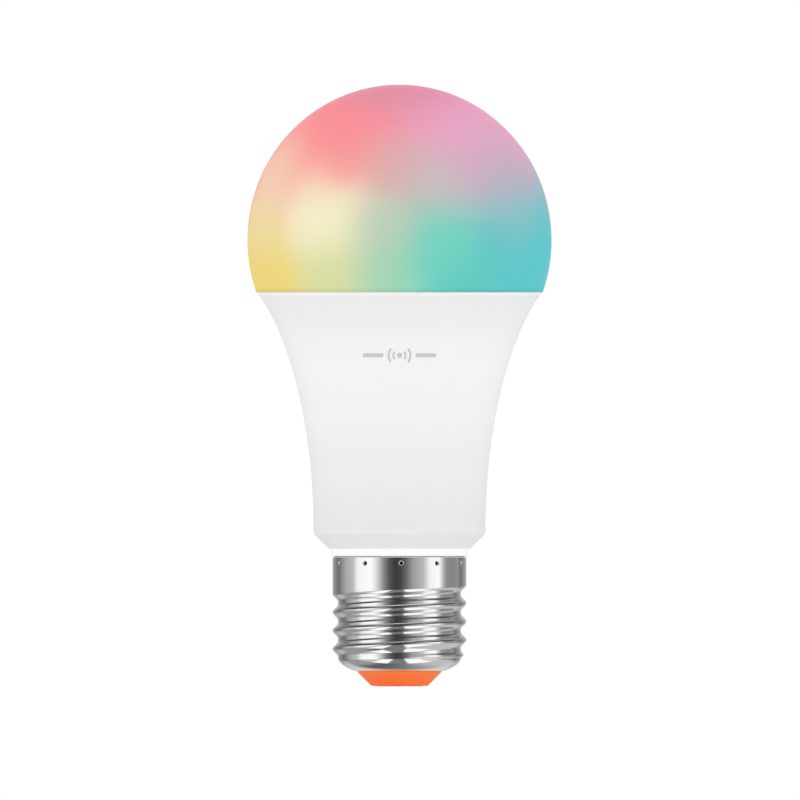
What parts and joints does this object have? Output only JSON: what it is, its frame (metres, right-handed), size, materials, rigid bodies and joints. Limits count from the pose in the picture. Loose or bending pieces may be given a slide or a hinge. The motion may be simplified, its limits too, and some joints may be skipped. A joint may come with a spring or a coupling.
{
  "type": "smart light bulb",
  "caption": "Screw-cap smart lamp with an opal dome, a flared white body over a heat cup, white and colour LEDs, a radio board and a mains driver.",
  "frame": {"origin": "centre of the end contact's outer face, where the lamp meets the bottom of its holder", "axes": "+Z along the lamp's axis from the cap to the top of the dome, -Y towards the side that carries the printed mark, +X to its right as seen from the front"},
  "size_m": [0.06, 0.06, 0.1187],
  "materials": {
    "opal_dome": "milky diffusing polycarbonate, satin, glowing in blended colours",
    "silicone_seal": "white silicone adhesive bead",
    "body_plastic": "smooth white flame-retardant polyester, soft satin",
    "cup_aluminium": "deep-drawn sheet, faint draw lines",
    "shell_nickel": "nickel-plated rolled sheet, mirror bright",
    "orange_insulator": "moulded orange plastic, low gloss",
    "contact_tin": "tinned pressed contact, worn by touch",
    "board_white_mask": "white solder mask over an aluminium core",
    "thermal_grease": "smeared white heat paste",
    "steel_screw": "zinc-plated pan-head screws",
    "led_case": "white moulded reflector case",
    "phosphor_warm": "amber phosphor in silicone",
    "phosphor_cool": "yellow phosphor in silicone",
    "clear_resin": "clear encapsulating resin over three chips",
    "black_plastic": "black moulding compound",
    "pin_gold": "thin gold over brass",
    "solder": "bright reflowed solder",
    "board_green": "glass-epoxy board under green solder mask",
    "board_blue": "glass-epoxy board under blue solder mask",
    "shield_tin": "stamped tinplate can",
    "antenna_copper": "gilded copper trace",
    "capacitor_sleeve": "printed heat-shrink sleeve over an aluminium can",
    "capacitor_bung": "black rubber bung",
    "tinned_wire": "tinned copper wire",
    "film_yellow": "yellow boxed film capacitor",
    "varistor_blue": "blue epoxy dip",
    "fuse_green": "cement-coated fusible resistor",
    "sleeve_white": "woven glass-fibre sleeve",
    "ceramic_tan": "chip capacitors, tan ceramic",
    "ferrite": "pressed ferrite, dark grey",
    "enamelled_copper": "enamelled copper wire, layer wound",
    "tape_yellow": "yellow polyester tape",
    "wire_blue": "blue wire insulation",
    "bare_copper": "bare copper wire"
  },
  "bodies": {
    "root": {"diffuser": "opal_dome", "seal_ring": "silicone_seal", "housing": "body_plastic", "heat_cup": "cup_aluminium", "screw_shell": "shell_nickel", "cap_insulator": "orange_insulator", "centre_contact": "contact_tin", "led_board": "board_white_mask", "thermal_paste": "thermal_grease", "led_board_screws": "steel_screw", "white_led_cases": "led_case", "warm_phosphor": "phosphor_warm", "cool_phosphor": "phosphor_cool", "colour_led_cases": "led_case", "colour_led_lenses": "clear_resin", "led_pin_header": "black_plastic", "led_pins": "pin_gold", "led_pin_solder": "solder", "radio_board": "board_blue", "radio_shield": "shield_tin", "radio_antenna": "antenna_copper", "radio_spacer": "black_plastic", "radio_pins": "pin_gold", "driver_board": "board_green", "input_capacitor": "capacitor_sleeve", "output_capacitor": "capacitor_sleeve", "capacitor_bungs": "capacitor_bung", "capacitor_leads": "tinned_wire", "film_capacitor": "film_yellow", "varistor": "varistor_blue", "fuse_resistor": "fuse_green", "fuse_sleeve": "sleeve_white", "bridge_rectifier": "black_plastic", "power_chip": "black_plastic", "dimmer_chip": "black_plastic", "chip_leads": "tinned_wire", "chip_resistors": "black_plastic", "chip_capacitors": "ceramic_tan", "diodes": "black_plastic", "transformer_core": "ferrite", "transformer_bobbin": "black_plastic", "transformer_winding": "enamelled_copper", "transformer_tape": "tape_yellow", "transformer_pins": "black_plastic", "filter_choke_core": "ferrite", "filter_choke_winding": "enamelled_copper", "live_wire": "bare_copper", "neutral_wire": "bare_copper", "neutral_insulation": "wire_blue"}
  },
  "joints": []
}
